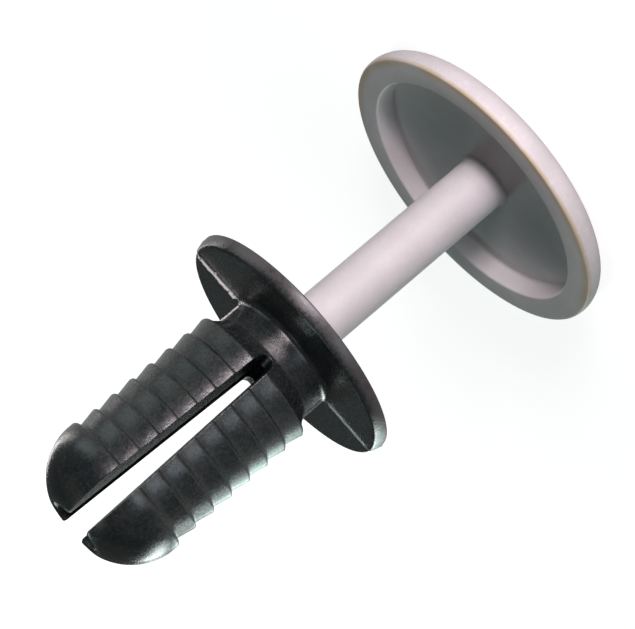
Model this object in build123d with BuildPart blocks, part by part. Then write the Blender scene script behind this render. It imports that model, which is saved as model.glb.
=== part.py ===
from build123d import *
import math
import os

# Plastic push rivet: a barbed, split grommet and the push pin that locks it.
# Millimetres. +Z runs along the rivet from the pin's head to the leg tips, and
# z = 0 is the outer face of the head, on which the rivet stands. The pin is in
# its set position, before it is pushed home. The slot between the two legs runs
# through along Y, so one leg lies on each side of X = 0.

# Driving dimensions of the push pin
head_diameter = 18.7  # over the widest line of the rim
head_height = 2.1
crown_slope = 13.4  # degrees, from the flat face out to the rounded rim
rim_height = 1.69  # of the widest line, above the outer face
rim_radius = 1.28  # rounds the rim in side view
lip_width = 1.66  # flat lip between the rim and the recess, with its broken edges
lip_edge_chamfer = 0.1
recess_depth = 1.2
recess_draft = 3.0  # degrees
recess_corner_chamfer = 0.15
shaft_diameter = 3.3
shaft_root_chamfer = 0.25
tip_diameter = 1.5
tip_length = 0.9

# Driving dimensions of the grommet
flange_thickness = 0.8
flange_lean = 12.5  # degrees that the flange's edge leans in towards the legs
flange_edge_chamfer = 0.1
neck_diameter = 6.84
neck_length = 1.68
neck_root_chamfer = 0.35
neck_taper_length = 0.5  # from the end of the neck out to the root of the barbs
barb_diameter = 8.4
barb_depth = 0.26
barb_pitch = 1.3
barb_count = 7
mould_draft = 4.7  # degrees, on all that the two mould halves draw along Y
nose_step = 0.1  # radial, the nose stands out past the barbs
nose_land = 0.4  # straight stretch behind the nose's curve
nose_length = 3.72
nose_flat_diameter = 4.0  # the curve of the nose ends in a flat round the bore
slot_setback = 0.35  # from the end of the neck to the closed end of the slot
slot_root_width = 0.32  # at the parting plane, where the slot is narrowest
slot_tip_width = 1.07
slot_corner_radius = 0.13

# How the two pieces fit
push_travel = 14.9
engaged_length = 1.8  # of the shaft inside the grommet before the push
bore_clearance = 0.06  # radial
bore_chamfer = 0.45
nest_clearance = 0.11  # radial, between the flange and the recess
seat_clearance = 0.02  # between the flange and the recess floor when pushed home

# Heights that follow
floor_z = head_height - recess_depth
flange_z = floor_z + push_travel + seat_clearance
seat_z = flange_z + flange_thickness
neck_end_z = seat_z + neck_length
slot_end_z = neck_end_z + slot_setback
barb_start_z = neck_end_z + neck_taper_length
nose_z = barb_start_z + barb_count * barb_pitch
leg_tip_z = nose_z + nose_length
tip_z = flange_z + engaged_length

# Radii that follow
rim_x = head_diameter / 2 - rim_radius
rim_end = math.asin((head_height - lip_edge_chamfer - rim_height) / rim_radius)
lip_outer_r = rim_x + rim_radius * math.cos(rim_end)
lip_inner_r = lip_outer_r - lip_width
floor_r = lip_inner_r - recess_depth * math.tan(math.radians(recess_draft))
shaft_r = shaft_diameter / 2
tip_r = tip_diameter / 2
bore_r = shaft_r + bore_clearance
flange_r = floor_r - nest_clearance
flange_seat_r = flange_r - flange_thickness * math.tan(math.radians(flange_lean))
neck_r = neck_diameter / 2
barb_r = barb_diameter / 2
barb_root_r = barb_r - barb_depth
nose_r = barb_r + nose_step
nose_flat_r = nose_flat_diameter / 2

# The crown is a shallow cone that runs smoothly into the rounded rim
crown = math.radians(crown_slope)
crown_r = rim_x + rim_radius * math.sin(crown)
crown_z = rim_height - rim_radius * math.cos(crown)
face_r = crown_r - crown_z / math.tan(crown)

# Push pin: a disc head with a deep rim round its recess, and a plain round shaft
with BuildPart() as push_pin:
    with BuildSketch(Plane.XZ):
        with BuildLine():
            Polyline((0, 0), (face_r, 0), (crown_r, crown_z))
            CenterArc(
                (rim_x, rim_height),
                rim_radius,
                crown_slope - 90,
                90 - crown_slope + math.degrees(rim_end),
            )
            Polyline(
                (lip_outer_r, head_height - lip_edge_chamfer),
                (lip_outer_r - lip_edge_chamfer, head_height),
                (lip_inner_r + lip_edge_chamfer, head_height),
                (lip_inner_r, head_height - lip_edge_chamfer),
                (floor_r, floor_z + recess_corner_chamfer),
                (floor_r - recess_corner_chamfer, floor_z),
                (shaft_r + shaft_root_chamfer, floor_z),
                (shaft_r, floor_z + shaft_root_chamfer),
                (shaft_r, tip_z - tip_length),
                (tip_r, tip_z),
                (0, tip_z),
                (0, 0),
            )
        make_face()
    revolve(axis=Axis.Z)

# One barb: its ramp faces the leg tips. Its steep back faces the flange, and
# leans by the draft on each side of the parting plane, Y = 0.
back_reach = 2 * barb_r
back_rise = back_reach * math.tan(math.radians(mould_draft))

with BuildPart() as barb:
    with BuildSketch(Plane.XZ):
        with BuildLine():
            Polyline((0, 0), (barb_r, 0), (barb_root_r, barb_pitch), (0, barb_pitch), close=True)
        make_face()
    revolve(axis=Axis.Z)
    with BuildSketch(Plane.YZ):
        with BuildLine():
            Polyline((0, 0), (back_reach, 0), (back_reach, back_rise), close=True)
        make_face()
        mirror(about=Plane.YZ)
    extrude(amount=back_reach, both=True, mode=Mode.SUBTRACT)

# The nose: a short land and a blunt bullet, with the same drafted back
with BuildPart() as nose:
    with BuildSketch(Plane.XZ):
        with BuildLine():
            Polyline((nose_flat_r, nose_length), (0, nose_length), (0, 0), (nose_r, 0), (nose_r, nose_land))
            TangentArc((nose_r, nose_land), (nose_flat_r, nose_length), tangent=(0, 1))
        make_face()
    revolve(axis=Axis.Z)
    with BuildSketch(Plane.YZ):
        with BuildLine():
            Polyline((0, 0), (back_reach, 0), (back_reach, back_rise), close=True)
        make_face()
        mirror(about=Plane.YZ)
    extrude(amount=back_reach, both=True, mode=Mode.SUBTRACT)

# Grommet: flange, neck and barbed shank in one moulding, bored for the pin and
# split by the slot into two legs
with BuildPart() as grommet:
    with BuildSketch(Plane.XZ):
        with BuildLine():
            Polyline(
                (0, flange_z),
                (flange_r - flange_edge_chamfer, flange_z),
                (flange_r, flange_z + flange_edge_chamfer),
                (flange_seat_r, seat_z - flange_edge_chamfer),
                (flange_seat_r - flange_edge_chamfer, seat_z),
                (neck_r + neck_root_chamfer, seat_z),
                (neck_r, seat_z + neck_root_chamfer),
                (neck_r, neck_end_z),
                (barb_root_r, barb_start_z),
                (barb_root_r, nose_z + nose_land),
                (0, nose_z + nose_land),
                close=True,
            )
        make_face()
    revolve(axis=Axis.Z)
    with Locations(*[(0, 0, barb_start_z + i * barb_pitch) for i in range(barb_count)]):
        add(barb.part)
    with Locations((0, 0, nose_z)):
        add(nose.part)

    # The bore guides the pin, and runs on between the legs and out at their tips
    with BuildSketch(Plane.XZ):
        with BuildLine():
            Polyline(
                (0, flange_z),
                (bore_r + bore_chamfer, flange_z),
                (bore_r, flange_z + bore_chamfer),
                (bore_r, leg_tip_z),
                (0, leg_tip_z),
                close=True,
            )
        make_face()
    revolve(axis=Axis.Z, mode=Mode.SUBTRACT)

    # The slot widens towards the leg tips, and by the draft away from the parting plane
    slot_root_half = slot_root_width / 2
    slot_tip_half = slot_tip_width / 2
    with BuildSketch(Plane.XZ):
        with BuildLine():
            FilletPolyline(
                (-slot_tip_half, leg_tip_z),
                (-slot_root_half, slot_end_z),
                (slot_root_half, slot_end_z),
                (slot_tip_half, leg_tip_z),
                radius=slot_corner_radius,
            )
            Line((slot_tip_half, leg_tip_z), (-slot_tip_half, leg_tip_z))
        make_face()
    extrude(amount=1.5 * barb_r, both=True, taper=-mould_draft, mode=Mode.SUBTRACT)

push_pin.part.label = "push_pin"
grommet.part.label = "grommet"

os.makedirs("parts", exist_ok=True)
export_step(push_pin.part, "parts/push_pin.step")
export_step(grommet.part, "parts/grommet.step")
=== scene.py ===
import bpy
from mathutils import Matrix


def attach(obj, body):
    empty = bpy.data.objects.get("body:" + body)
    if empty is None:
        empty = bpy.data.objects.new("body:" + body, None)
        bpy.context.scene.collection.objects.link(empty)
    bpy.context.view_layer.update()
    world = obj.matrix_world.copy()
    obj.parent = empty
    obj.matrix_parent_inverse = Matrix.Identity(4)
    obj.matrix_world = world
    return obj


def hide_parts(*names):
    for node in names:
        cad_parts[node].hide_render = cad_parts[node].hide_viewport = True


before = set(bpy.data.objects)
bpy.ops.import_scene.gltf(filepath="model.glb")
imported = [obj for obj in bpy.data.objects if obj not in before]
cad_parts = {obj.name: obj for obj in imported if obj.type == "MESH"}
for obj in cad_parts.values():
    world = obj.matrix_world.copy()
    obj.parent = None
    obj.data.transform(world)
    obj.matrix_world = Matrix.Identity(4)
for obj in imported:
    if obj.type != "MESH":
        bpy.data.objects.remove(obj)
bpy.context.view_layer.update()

import math

import bmesh
import bpy
from mathutils import Vector

# Plastic push rivet: a split, barbed grommet and the pin that is pushed through it.
# It stands on the pin's head. Sizes are in millimetres until they reach Blender.
mm = 0.001
sameVertex = 0.0005  # millimetres, within which vertices become one
onPlane = 0.001  # millimetres, within which a vertex counts as lying on a plane
smoothAngle = 40  # degrees, up to which neighbouring faces shade as one
print("frame loaded:", ", ".join(sorted(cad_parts)))


def startPiece(name, x, z):
    # a single vertex at (x, z) in the plane y = 0, in edit mode
    bpy.ops.object.select_all(action="DESELECT")
    bpy.ops.mesh.primitive_plane_add(size=mm)
    piece = bpy.context.object
    piece.name = piece.data.name = name
    bpy.ops.object.mode_set(mode="EDIT")
    bpy.ops.mesh.merge(type="CENTER")
    bpy.ops.transform.translate(value=(x * mm, 0, z * mm))
    return piece


def drawOutline(name, points):
    piece = startPiece(name, *points[0])
    for (x, z), (nextX, nextZ) in zip(points, points[1:]):
        step = ((nextX - x) * mm, 0, (nextZ - z) * mm)
        bpy.ops.mesh.extrude_vertices_move(TRANSFORM_OT_translate={"value": step})
    return piece


def pick(where):
    # selects the vertices whose place in millimetres passes the test
    mesh = bmesh.from_edit_mesh(bpy.context.object.data)
    for corner in mesh.verts:
        corner.select_set(where(*(corner.co / mm)))
    mesh.select_flush_mode()
    bmesh.update_edit_mesh(bpy.context.object.data)


def roundCorners(corners, setback, steps):
    # the round reaches as far as the setback along both sides of each corner
    near = 0.004

    def isCorner(x, y, z):
        return any(abs(x - cx) < near and abs(z - cz) < near for cx, cz in corners)

    pick(isCorner)
    bpy.ops.mesh.bevel(offset=setback * mm, segments=steps, affect="VERTICES")


def weld():
    bpy.ops.mesh.select_all(action="SELECT")
    bpy.ops.mesh.remove_doubles(threshold=sameVertex * mm)


def closeSeams():
    weld()
    bpy.ops.mesh.normals_make_consistent(inside=False)


def selectOnly(piece):
    bpy.ops.object.select_all(action="DESELECT")
    piece.select_set(True)
    bpy.context.view_layer.objects.active = piece


def finishPiece(piece):
    bpy.ops.object.mode_set(mode="OBJECT")
    selectOnly(piece)
    bpy.ops.object.shade_smooth_by_angle(angle=math.radians(smoothAngle))


def arcPoints(centreX, centreZ, radius, startAngle, endAngle, steps):
    turn = (endAngle - startAngle) / steps
    angles = [math.radians(startAngle + turn * i) for i in range(steps + 1)]
    return [(centreX + radius * math.cos(a), centreZ + radius * math.sin(a)) for a in angles]


class Signal:
    # a socket that can be used in sums
    def __init__(self, finish, socket):
        self.finish, self.socket = finish, socket

    def at(self, output):
        # another output of the same node
        return Signal(self.finish, self.socket.node.outputs[output])

    def __add__(self, other):
        return self.finish.maths("ADD", self, other)

    def __sub__(self, other):
        return self.finish.maths("SUBTRACT", self, other)

    def __rsub__(self, other):
        return self.finish.maths("SUBTRACT", other, self)

    def __mul__(self, other):
        return self.finish.maths("MULTIPLY", self, other)

    __radd__ = __add__
    __rmul__ = __mul__


class Finish:
    # a material, or the world, built node by node
    def __init__(self, owner):
        self.owner = owner
        owner.use_nodes = True
        self.tree = owner.node_tree
        self.tree.nodes.clear()

    def node(self, kind, settings=None, values=None, output=0):
        made = self.tree.nodes.new(kind)
        for name, value in (settings or {}).items():
            setattr(made, name, value)
        for name, value in (values or {}).items():
            if isinstance(value, Signal):
                self.tree.links.new(value.socket, made.inputs[name])
            else:
                made.inputs[name].default_value = value
        return Signal(self, made.outputs[output]) if made.outputs else None

    def maths(self, operation, first, second=0.0, clamp=False):
        return self.node("ShaderNodeMath", {"operation": operation, "use_clamp": clamp},
                         {0: first, 1: second})

    def band(self, value, low, high, bottom=0.0, top=1.0):
        # rises smoothly from bottom at low to top at high
        return self.node("ShaderNodeMapRange", {"interpolation_type": "SMOOTHSTEP"},
                         {"Value": value, "From Min": low, "From Max": high,
                          "To Min": bottom, "To Max": top})

    def span(self, value, limits, bottom=0.0, top=1.0):
        # a band whose two limits are millimetres
        return self.band(value, limits[0] * mm, limits[1] * mm, bottom, top)

    def mix(self, amount, first, second):
        return self.node("ShaderNodeMix", {"data_type": "RGBA"},
                         {0: amount, 6: first, 7: second}, output=2)

    def seenShare(self, inGloss):
        # 1 for the camera's own view, and a share of it in reflections and through glass
        rays = self.node("ShaderNodeLightPath", output="Is Camera Ray")
        mirrored = (rays.at("Is Glossy Ray") + rays.at("Is Transmission Ray")) * inGloss
        return self.maths("ADD", rays, mirrored, clamp=True)

    def noise(self, place, size, detail, rough=0.5):
        # size is that of one blotch, in millimetres
        return self.node("ShaderNodeTexNoise", None,
                         {"Vector": place, "Scale": 1 / (size * mm), "Detail": detail,
                          "Roughness": rough})


view = {
    "place": (-4.678, -105.096, 45.67),
    "turn": (115.173, 133.079, 16.2305),  # degrees
    "lens": 112.16,
    "clip": (0.01, 20),  # metres
}
bpy.ops.object.select_all(action="DESELECT")
bpy.ops.object.camera_add(
    location=[v * mm for v in view["place"]],
    rotation=[math.radians(v) for v in view["turn"]],
)
camera = bpy.context.object
camera.name = "camera"
camera.data.lens = view["lens"]
camera.data.clip_start, camera.data.clip_end = view["clip"]
bpy.context.scene.camera = camera

# where each lamp hangs, as degrees round and above the rivet and metres away from it, with
# its size in metres, its power and its colour
lamps = {
    "keyLamp": {"round": 14, "above": 7.5, "away": 0.6, "wide": 0.16, "tall": 0.07,
                "watts": 2.25, "colour": (1.0, 0.875, 0.94)},
    "sideLamp": {"round": -30, "above": 7.5, "away": 0.6, "wide": 0.2, "tall": 0.1,
                 "watts": 0.4, "colour": (0.8, 0.9, 1.0)},
    "topLamp": {"round": 0, "above": 88, "away": 0.7, "wide": 0.3, "tall": 0.3,
                "watts": 0.5, "colour": (0.95, 1.0, 0.88)},
    "rimLamp": {"round": -138, "above": 6.5, "away": 0.6, "wide": 0.4, "tall": 0.12,
                "watts": 1.25, "colour": (0.88, 1.0, 0.97)},
    "farLamp": {"round": 80, "above": 8, "away": 0.6, "wide": 0.4, "tall": 0.12,
                "watts": 0.3, "colour": (0.85, 1.0, 1.0)},
    "backLamp": {"round": 142, "above": 3, "away": 0.6, "wide": 0.6, "tall": 0.04,
                 "watts": 0.4, "colour": (1.0, 0.97, 0.95)},
    "fillLamp": {"round": 179, "above": 45, "away": 0.6, "wide": 0.08, "tall": 0.08,
                 "watts": 0.25, "colour": (0.72, 1.0, 1.0)},
    "lowLamp": {"round": 9, "above": 4.6, "away": 0.05, "wide": 0.03, "tall": 0.01,
                "watts": 0.015, "colour": (1.0, 0.86, 0.89)},
    "lowRimLamp": {"round": -148, "above": 2.4, "away": 0.11, "wide": 0.07, "tall": 0.012,
                   "watts": 0.009, "colour": (0.75, 1.0, 0.95)},
}
for name, lamp in lamps.items():
    turn, rise = math.radians(lamp["round"]), math.radians(lamp["above"])
    level = math.cos(rise)
    out = Vector((math.sin(turn) * level, -math.cos(turn) * level, math.sin(rise)))
    bpy.ops.object.light_add(type="AREA", location=out * lamp["away"],
                             rotation=out.to_track_quat("Z", "Y").to_euler())
    light = bpy.context.object
    light.name = name
    light.data.shape = "RECTANGLE"
    light.data.size, light.data.size_y = lamp["wide"], lamp["tall"]
    light.data.energy = lamp["watts"]
    light.data.color = lamp["colour"]

surround = {
    "colour": (0.9, 1.0, 1.0, 1),
    "strength": 0.02,
    "backdrop": (1, 1, 1, 1),
    "backdropStrength": 1.0,
    "inGloss": 0.06,  # share of the backdrop that shows in reflections
}
world = bpy.data.worlds.new("surround")
bpy.context.scene.world = world
air = Finish(world)
seen = air.seenShare(surround["inGloss"])
dim = air.node("ShaderNodeBackground", None,
               {"Color": surround["colour"], "Strength": surround["strength"]})
white = air.node("ShaderNodeBackground", None,
                 {"Color": surround["backdrop"], "Strength": surround["backdropStrength"]})
air.node("ShaderNodeOutputWorld", None,
         {"Surface": air.node("ShaderNodeMixShader", None, {0: seen, 1: dim, 2: white})})

floorLook = {
    "colour": (0.85, 0.85, 0.85, 1),
    "roughness": 0.9,
    "glow": 0.72,  # beside the rivet, where the floor keeps its shadow; 1 is white
    "shadowEnds": (15, 120),  # millimetres from the rivet, over which the glow rises to 1
    "inGloss": 0.25,  # share of the glow that shows in reflections
    "wide": 4.0,  # metres
}
bpy.ops.object.select_all(action="DESELECT")
bpy.ops.mesh.primitive_plane_add(size=floorLook["wide"])
floor = bpy.context.object
floor.name = "floor"
paper = Finish(bpy.data.materials.new("pale_floor"))
matt = paper.node("ShaderNodeBsdfPrincipled", None,
                  {"Base Color": floorLook["colour"], "Roughness": floorLook["roughness"]})
fromRivet = paper.node("ShaderNodeVectorMath", {"operation": "LENGTH"},
                       {0: paper.node("ShaderNodeTexCoord", output="Object")}, output="Value")
glow = paper.node("ShaderNodeEmission", None,
                  {"Color": (1, 1, 1, 1),
                   "Strength": paper.span(fromRivet, floorLook["shadowEnds"], floorLook["glow"])})
seen = paper.seenShare(floorLook["inGloss"])
both = paper.node("ShaderNodeAddShader", None, {0: matt, 1: glow})
paper.node("ShaderNodeOutputMaterial", None,
           {"Surface": paper.node("ShaderNodeMixShader", None, {0: seen, 1: matt, 2: both})})
floor.data.materials.append(paper.owner)
print("camera, lamps and floor placed")


pin = {
    "length": 17.62,
    "headDiameter": 18.69,
    "headHeight": 2.1,
    "crownSlope": 13.4,  # degrees
    "faceRound": 0.5,  # each round is how far it reaches along its two sides
    "rimHeight": 1.69,
    "rimRadius": 1.28,
    "lipRound": 0.1,
    "lipInnerRadius": 7.653,
    "recessMouthRound": 0.12,
    "recessDepth": 1.2,
    "recessFloorRadius": 7.59,
    "recessCornerRound": 0.18,
    "shaftDiameter": 3.3,
    "shaftRootRound": 0.3,
    "shaftEndRound": 0.25,
    "tipDiameter": 1.5,
    "tipLength": 0.9,
    "tipRound": 0.2,
    "rimSteps": 16,
    "stepsRound": 192,
}


def makePin():
    rimX = pin["headDiameter"] / 2 - pin["rimRadius"]
    slope = math.radians(pin["crownSlope"])
    crownX = rimX + pin["rimRadius"] * math.sin(slope)
    crownZ = pin["rimHeight"] - pin["rimRadius"] * math.cos(slope)
    faceEdge = (crownX - crownZ / math.tan(slope), 0)
    top = pin["headHeight"]
    bottom = top - pin["recessDepth"]
    rimTop = math.degrees(math.asin((top - pin["rimHeight"]) / pin["rimRadius"]))
    rim = arcPoints(rimX, pin["rimHeight"], pin["rimRadius"],
                    pin["crownSlope"] - 90, rimTop, pin["rimSteps"])
    lipEdge, recessMouth = rim[-1], (pin["lipInnerRadius"], top)
    shaft, tip = pin["shaftDiameter"] / 2, pin["tipDiameter"] / 2
    recessCorner, shaftRoot = (pin["recessFloorRadius"], bottom), (shaft, bottom)
    shaftEnd, tipEdge = (shaft, pin["length"] - pin["tipLength"]), (tip, pin["length"])
    outline = [(0, 0), faceEdge] + rim + [
        recessMouth, recessCorner, shaftRoot, shaftEnd, tipEdge, (0, pin["length"])]
    piece = drawOutline("pin_moulding", outline)
    roundCorners([lipEdge], pin["lipRound"], 4)
    roundCorners([recessMouth], pin["recessMouthRound"], 4)
    roundCorners([recessCorner], pin["recessCornerRound"], 5)
    roundCorners([shaftRoot], pin["shaftRootRound"], 6)
    roundCorners([faceEdge], pin["faceRound"], 4)
    roundCorners([shaftEnd], pin["shaftEndRound"], 4)
    roundCorners([tipEdge], pin["tipRound"], 4)
    bpy.ops.mesh.select_all(action="SELECT")
    bpy.ops.mesh.spin(steps=pin["stepsRound"], angle=math.tau, center=(0, 0, 0), axis=(0, 0, 1))
    closeSeams()
    finishPiece(piece)
    return piece


grommet = {
    "flangeHeight": 15.82,  # of its face towards the pin's head
    "flangeThickness": 0.8,
    "flangeRadius": 7.51,
    "flangeSeatRadius": 7.273,
    "flangeRound": 0.11,
    "neckRadius": 3.42,
    "neckEnd": 18.3,
    "neckRootRound": 0.35,
    "neckEndRound": 0.15,
    "barbStart": 18.8,
    "barbPitch": 1.3,
    "barbs": 7,
    "barbRadius": 4.2,
    "barbRootRadius": 3.94,
    "rampEnd": 0.08,  # each ramp ends this far before the next barb's back
    "crestRound": 0.18,
    "crestTuck": 0.984,  # brings the leaning crests back to the cone of their ramps
    "barbRootRound": 0.055,
    "draft": 4.7,  # degrees, of all that the mould halves draw along Y
    "noseRadius": 4.3,
    "noseLand": 0.4,
    "noseLength": 3.715,
    "noseFlatRadius": 2.0,
    "noseEndRound": 0.14,
    "boreRadius": 1.71,
    "boreMouth": 0.45,
    "slotEnd": 18.65,
    "slotRootHalf": 0.16,  # at the parting plane
    "slotTipHalf": 0.535,
    "slotCorner": 0.13,
    "slotMouthRound": 0.2,
    "ridgeHeight": 0.035,  # of the fine line of flash, at the crests of the barbs
    "ridgeHalfWidth": 0.07,
    "ridgeInside": 2.31,  # the radius from which it stands
    "neckRidge": 1.025,  # on the neck it is stretched outwards by this
    "finHeight": 0.22,  # on the +X side
    "finFarShare": 0.4,  # of that height, on the other side
    "finFromNeck": 0.3,  # it starts this far out from the neck
    "finFromEdge": 0.12,  # and ends this far in from the edge of the seat
    "finSteps": 18,
    "finRagged": 0.15,  # share of its height that is uneven
    "finWaves": (2.3, 5.1),  # how fast it rises and falls along its steps
    "noseSteps": 22,
    "stepsPerQuarter": 56,
}
seatHeight = grommet["flangeHeight"] + grommet["flangeThickness"]
# the backs of the barbs, and last the back of the nose
backs = [grommet["barbStart"] + grommet["barbPitch"] * i for i in range(grommet["barbs"] + 1)]
legTips = backs[-1] + grommet["noseLength"]


def noseCurve():
    # an arc that leaves the nose's land without a corner and ends in its flat
    g = grommet
    rise, inward = g["noseLength"] - g["noseLand"], g["noseRadius"] - g["noseFlatRadius"]
    radius = (inward ** 2 + rise ** 2) / (2 * inward)
    return arcPoints(g["noseRadius"] - radius, backs[-1] + g["noseLand"], radius,
                     0, math.degrees(math.asin(rise / radius)), g["noseSteps"])


def makeGrommetQuarter():
    g = grommet
    rampRun = g["barbPitch"] - g["rampEnd"]
    rampDrop = (g["barbRadius"] - g["barbRootRadius"]) * rampRun / g["barbPitch"]
    boreEdge = (g["boreRadius"] + g["boreMouth"], g["flangeHeight"])
    flangeEdge = (g["flangeRadius"], g["flangeHeight"])
    seatEdge = (g["flangeSeatRadius"], seatHeight)
    neckRoot, neckEnd = (g["neckRadius"], seatHeight), (g["neckRadius"], g["neckEnd"])
    outline = [boreEdge, flangeEdge, seatEdge, neckRoot, neckEnd]
    for back in backs[:-1]:
        outline += [(g["barbRootRadius"], back), (g["barbRadius"], back),
                    (g["barbRadius"] - rampDrop, back + rampRun)]
    outline += [(g["barbRootRadius"], backs[-1]), (g["noseRadius"], backs[-1])]
    outline += noseCurve()
    outline += [(g["boreRadius"], legTips), (g["boreRadius"], g["flangeHeight"] + g["boreMouth"]),
                boreEdge]
    piece = drawOutline("grommet_moulding", outline)
    crests = [(g["barbRadius"], back) for back in backs[:-1]] + [(g["noseRadius"], backs[-1])]
    roundCorners(crests, g["crestRound"], 5)
    roundCorners([(g["barbRootRadius"], back) for back in backs], g["barbRootRound"], 2)
    roundCorners([flangeEdge, seatEdge], g["flangeRound"], 4)
    roundCorners([neckRoot], g["neckRootRound"], 6)
    roundCorners([neckEnd], g["neckEndRound"], 3)
    noseEnd = [(g["noseFlatRadius"], legTips), (g["boreRadius"], legTips)]
    roundCorners(noseEnd, g["noseEndRound"], 4)
    weld()
    bpy.ops.mesh.select_all(action="SELECT")
    bpy.ops.mesh.spin(steps=g["stepsPerQuarter"], angle=math.pi / 2,
                      center=(0, 0, 0), axis=(0, 0, 1))
    closeSeams()
    leanBacks()
    raiseRidge()
    bpy.ops.object.mode_set(mode="OBJECT")
    return piece


def leanBacks():
    # the mould halves draw along Y, so each barb's back leans away from the parting plane
    g = grommet
    lean = math.radians(g["draft"])
    pastNeck = (g["neckRadius"] + g["barbRootRadius"]) / 2
    pastRoot = g["barbRootRadius"] + 0.06
    slack = 0.015
    low, high = -g["barbRootRound"] - slack, g["crestRound"] + slack
    for back in backs:
        pick(lambda x, y, z: math.hypot(x, y) > pastNeck and low < z - back < high)
        bpy.ops.transform.rotate(value=lean, orient_axis="X", center_override=(0, 0, back * mm))
        if back < backs[-1]:
            pick(lambda x, y, z: math.hypot(x, y) > pastRoot
                 and low < z - back + y * math.tan(lean) < high)
            bpy.ops.transform.resize(value=(1, g["crestTuck"], 1), center_override=(0, 0, 0))
    # what the turn moved off the parting plane goes back to it, so that the two halves close
    strayed = 0.03
    pick(lambda x, y, z: abs(y) < strayed and x > pastNeck)
    bpy.ops.transform.resize(value=(1, 0, 1), center_override=(0, 0, 0))


def raiseRidge():
    # a fine line of flash stands where the two mould halves met
    g = grommet
    bpy.ops.mesh.select_all(action="SELECT")
    bpy.ops.mesh.bisect(plane_co=(0, -g["ridgeHalfWidth"] * mm, 0), plane_no=(0, 1, 0))
    aboveFace = g["flangeHeight"] + 0.05
    pick(lambda x, y, z: abs(y) < onPlane and x > g["ridgeInside"] and z > aboveFace)
    bpy.ops.transform.resize(value=(1 + g["ridgeHeight"] / g["barbRadius"], 1, 1),
                             center_override=(0, 0, 0))


slotCutter = {
    "pastTips": 0.003,  # its shoulders lie just clear of the leg tips
    "flare": 0.5,  # width of each shoulder
    "above": 1,  # height past them
    "reach": 6,  # on each side of the parting plane
}


def slotOutline(name, y, growth):
    # the slot's outline at a distance y from the parting plane, grown by the draft
    g = grommet
    mouth = legTips + slotCutter["pastTips"]
    root, end = g["slotRootHalf"] + growth, g["slotTipHalf"] + growth
    closed, side = g["slotEnd"] - growth, end + slotCutter["flare"]
    half = [(root, closed), (end, mouth), (side, mouth), (side, mouth + slotCutter["above"])]
    outline = half + [(-x, z) for x, z in reversed(half)]
    piece = drawOutline(name, outline + outline[:1])
    weld()
    roundCorners([(-root, closed), (root, closed)], g["slotCorner"] + growth, 8)
    roundCorners([(-end, mouth), (end, mouth)], g["slotMouthRound"], 6)
    bpy.ops.mesh.select_all(action="SELECT")
    bpy.ops.transform.translate(value=(0, y * mm, 0))
    bpy.ops.object.mode_set(mode="OBJECT")
    return piece


def makeSlotCutter():
    reach, near = slotCutter["reach"], 0.1
    growth = reach * math.tan(math.radians(grommet["draft"]))
    outlines = [slotOutline("slot_cutter", y, abs(y) / reach * growth) for y in (-reach, 0, reach)]
    for outline in outlines:
        outline.select_set(True)
    bpy.context.view_layer.objects.active = outlines[0]
    bpy.ops.object.join()
    cutter = bpy.context.object
    bpy.ops.object.mode_set(mode="EDIT")
    for side in (-1, 1):
        pick(lambda x, y, z: y * side > -near)
        bpy.ops.mesh.bridge_edge_loops()
    for side in (-1, 1):
        pick(lambda x, y, z: y * side > reach - near)
        bpy.ops.mesh.edge_face_add()
    closeSeams()
    bpy.ops.object.mode_set(mode="OBJECT")
    return cutter


def raiseFin():
    # a ragged fin of flash stands on the flange's seat, higher on the +X side
    g = grommet
    steps, nearSeat = g["finSteps"], 0.06
    slow, quick = g["finWaves"]
    start, end = g["neckRadius"] + g["finFromNeck"], g["flangeSeatRadius"] - g["finFromEdge"]
    places = [start + (end - start) * i / steps for i in range(steps + 1)]
    for side, height in ((1, g["finHeight"]), (-1, g["finHeight"] * g["finFarShare"])):
        bpy.ops.mesh.select_all(action="SELECT")
        for place in places:
            bpy.ops.mesh.bisect(plane_co=(side * place * mm, 0, 0), plane_no=(1, 0, 0))
            bpy.ops.mesh.select_all(action="SELECT")
        for i, place in enumerate(places):
            wave = math.sin(quick * i) * math.cos(slow * i)
            ragged = 1 - g["finRagged"] + g["finRagged"] * wave
            pick(lambda x, y, z: abs(y) < onPlane and abs(side * x - place) < 2 * onPlane
                 and abs(z - seatHeight) < nearSeat)
            bpy.ops.transform.translate(value=(0, 0, height * ragged * mm))
    # the ridge is taller on the neck
    inside, low, high = g["neckRadius"] - 0.12, seatHeight + 0.2, g["neckEnd"] + 0.1
    pick(lambda x, y, z: abs(y) < onPlane and abs(x) > inside and low < z < high)
    bpy.ops.transform.resize(value=(g["neckRidge"], 1, 1), center_override=(0, 0, 0))


def makeGrommet():
    piece = makeGrommetQuarter()
    bpy.ops.object.modifier_add(type="MIRROR")
    halves = piece.modifiers[-1]
    halves.use_axis = (True, True, False)
    halves.merge_threshold = onPlane * mm
    bpy.ops.object.modifier_apply(modifier=halves.name)
    bpy.ops.object.mode_set(mode="EDIT")
    closeSeams()
    raiseFin()
    bpy.ops.object.mode_set(mode="OBJECT")
    cutter = makeSlotCutter()
    selectOnly(piece)
    bpy.ops.object.modifier_add(type="BOOLEAN")
    cut = piece.modifiers[-1]
    cut.operation, cut.solver, cut.object = "DIFFERENCE", "EXACT", cutter
    bpy.ops.object.modifier_apply(modifier=cut.name)
    bpy.data.objects.remove(cutter)
    finishPiece(piece)
    return piece


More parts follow.
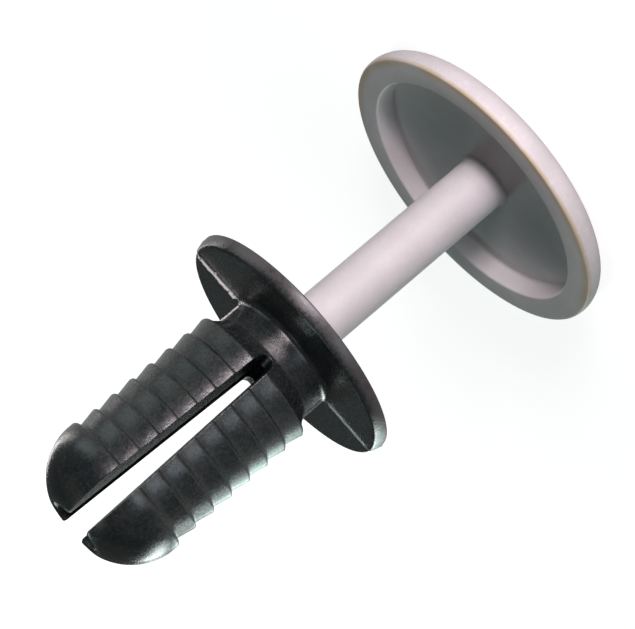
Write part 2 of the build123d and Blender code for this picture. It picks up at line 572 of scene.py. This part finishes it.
# sizes in the finishes are millimetres
pinFinish = {
    "colour": (0.535, 0.521, 0.525, 1),
    "blotch": (0.5, 0.488, 0.486, 1),
    "blotchSize": 2.2,
    "fleckSize": 0.24,
    "paintedLipShade": (0.46, 0.38, 0.26, 1),  # painted shade, along the outer edge of the lip where the light turns round it
    "paintedShadeRadius": (8.6, 9.1),  # where it rises to its full strength
    "paintedShadeHeight": (1.86, 1.98),
    "paintedShadeSide": (5, -1),  # along Y; it fades towards the back
    "paleEdge": (0.61, 0.6, 0.6, 1),
    "paleEdgeRadius": (9.25, 9.34),
    "scuffSize": 0.5,
    "roughness": 0.58,
    "roughnessSpread": 0.14,
    "grain": 0.006,  # height of the mould texture
    "grainSize": 0.09,
}


def finishPin():
    look = pinFinish
    finish = Finish(bpy.data.materials.new("warm_grey_nylon"))
    place = finish.node("ShaderNodeTexCoord", output="Object")
    parts = finish.node("ShaderNodeSeparateXYZ", None, {0: place})
    x, y, z = [parts.at(axis) for axis in "XYZ"]
    radius = finish.maths("SQRT", x * x + y * y)
    cloudy = finish.noise(place, look["blotchSize"], 4)
    fine = finish.noise(place, look["fleckSize"], 4, 0.6)
    grain = finish.noise(place, look["grainSize"], 2)
    blotches = finish.band(cloudy * 0.7 + fine * 0.3, 0.4, 0.6)
    colour = finish.mix(blotches, look["colour"], look["blotch"])
    # the edge between rim and lip is painted a brownish shade where the light turns round it, and
    # rubbed pale in places
    lipEdge = finish.span(radius, look["paintedShadeRadius"]) * finish.span(z, look["paintedShadeHeight"])
    patches = finish.band(cloudy, 0.32, 0.52, 0.45, 0.9)
    # painted shade, strongest on the front side and fading towards the back
    paintedLipShade = lipEdge * patches * finish.span(y - x * 0.3, look["paintedShadeSide"])
    colour = finish.mix(paintedLipShade, colour, look["paintedLipShade"])
    rubs = finish.band(finish.noise(place, look["scuffSize"], 5, 0.7), 0.54, 0.68, 0.0, 0.5)
    paleEdge = finish.span(radius, look["paleEdgeRadius"]) * rubs
    colour = finish.mix(paleEdge, colour, look["paleEdge"])
    bump = finish.node("ShaderNodeBump", None,
                       {"Strength": 1.0, "Distance": look["grain"] * mm,
                        "Height": fine * 0.6 + grain * 0.4})
    spread = look["roughnessSpread"]
    shader = finish.node("ShaderNodeBsdfPrincipled", None, {
        "Base Color": colour,
        "Roughness": fine * spread + (look["roughness"] - spread / 2) + paleEdge * 0.08,
        "Normal": bump, "IOR": 1.5})
    finish.node("ShaderNodeOutputMaterial", None, {"Surface": shader})
    return finish.owner


grommetFinish = {
    "colour": (0.008, 0.012, 0.013, 1),
    "blotch": (0.02, 0.023, 0.022, 1),
    "blotchSize": 1.6,
    "fleckSize": 0.24,
    # wear on the flange's edge, lightened further as a painted sheen
    "paleEdge": (0.058, 0.053, 0.053, 1),
    "paleEdgeRadius": (7.28, 7.42),
    "flash": (0.85, 0.85, 0.82, 1),
    "flashHalfWidth": 0.15,  # of the pale line
    "flashSolid": 0.35,  # share of that width that doesn't fade
    "flashHeight": (18.9, 18.2),  # it fades out at the first barb
    "flashSide": (-1, 1),  # along X, from the side that has less of it to the other
    "flashLess": 0.45,  # its share on that side
    "crumbSize": 0.3,
    "crumbWidth": (1.1, 0.3),  # from the line, where the crumbs end and where they are thick
    "roughness": 0.26,
    "roughnessSpread": 0.3,
    "grain": 0.016,
    "grainSize": 0.08,
    "edgeRadius": 0.1,  # of the edges along the slot
}


def finishGrommet():
    look = grommetFinish
    finish = Finish(bpy.data.materials.new("black_nylon"))
    place = finish.node("ShaderNodeTexCoord", output="Object")
    parts = finish.node("ShaderNodeSeparateXYZ", None, {0: place})
    x, y, z = [parts.at(axis) for axis in "XYZ"]
    across = finish.maths("ABSOLUTE", y)
    radius = finish.maths("SQRT", x * x + y * y)
    cloudy = finish.noise(place, look["blotchSize"], 4)
    fine = finish.noise(place, look["fleckSize"], 5, 0.65)
    grain = finish.noise(place, look["grainSize"], 3)
    # mould texture, mottled lighter and duller
    blotches = finish.band(cloudy * 0.5 + fine * 0.5, 0.4, 0.6)
    colour = finish.mix(blotches, look["colour"], look["blotch"])
    # the flange's edge is scuffed from handling, and painted lighter there as a sheen
    rubs = finish.band(fine * 0.5 + cloudy * 0.5, 0.34, 0.64, 0.5, 0.95)
    paleEdge = finish.span(radius, look["paleEdgeRadius"]) * rubs
    colour = finish.mix(paleEdge, colour, look["paleEdge"])
    # flash and its pale crumbs along the line where the mould halves met
    onNeck = finish.span(z, look["flashHeight"])
    oneSide = finish.span(x, look["flashSide"], look["flashLess"])
    width = look["flashHalfWidth"] * mm
    line = finish.band(across, width * look["flashSolid"], width, 1.0, 0.0)
    flash = line * oneSide * onNeck * finish.band(fine, 0.3, 0.46)
    crumbs = finish.band(finish.noise(place, look["crumbSize"], 2), 0.66, 0.7)
    crumbs = crumbs * finish.span(across, look["crumbWidth"]) * onNeck
    pale = finish.maths("MAXIMUM", flash, crumbs * 0.7)
    colour = finish.mix(pale, colour, look["flash"])
    edges = finish.node("ShaderNodeBevel", {"samples": 6}, {"Radius": look["edgeRadius"] * mm})
    bump = finish.node("ShaderNodeBump", None,
                       {"Strength": 1.0, "Distance": look["grain"] * mm,
                        "Height": fine * 0.75 + grain * 0.25, "Normal": edges})
    spread = look["roughnessSpread"]
    shader = finish.node("ShaderNodeBsdfPrincipled", None, {
        "Base Color": colour,
        "Roughness": fine * spread + (look["roughness"] - spread / 2) + pale * 0.3 + paleEdge * 0.1,
        "Normal": bump, "IOR": 1.5})
    finish.node("ShaderNodeOutputMaterial", None, {"Surface": shader})
    return finish.owner


pinPiece = makePin()
pinPiece.data.materials.append(finishPin())
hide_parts("push_pin")
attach(pinPiece, "pin")
print("push pin made:", len(pinPiece.data.polygons), "faces")

grommetPiece = makeGrommet()
grommetPiece.data.materials.append(finishGrommet())
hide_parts("grommet")
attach(grommetPiece, "grommet")
print("grommet made:", len(grommetPiece.data.polygons), "faces")

bpy.context.scene.view_settings.view_transform = "Standard"
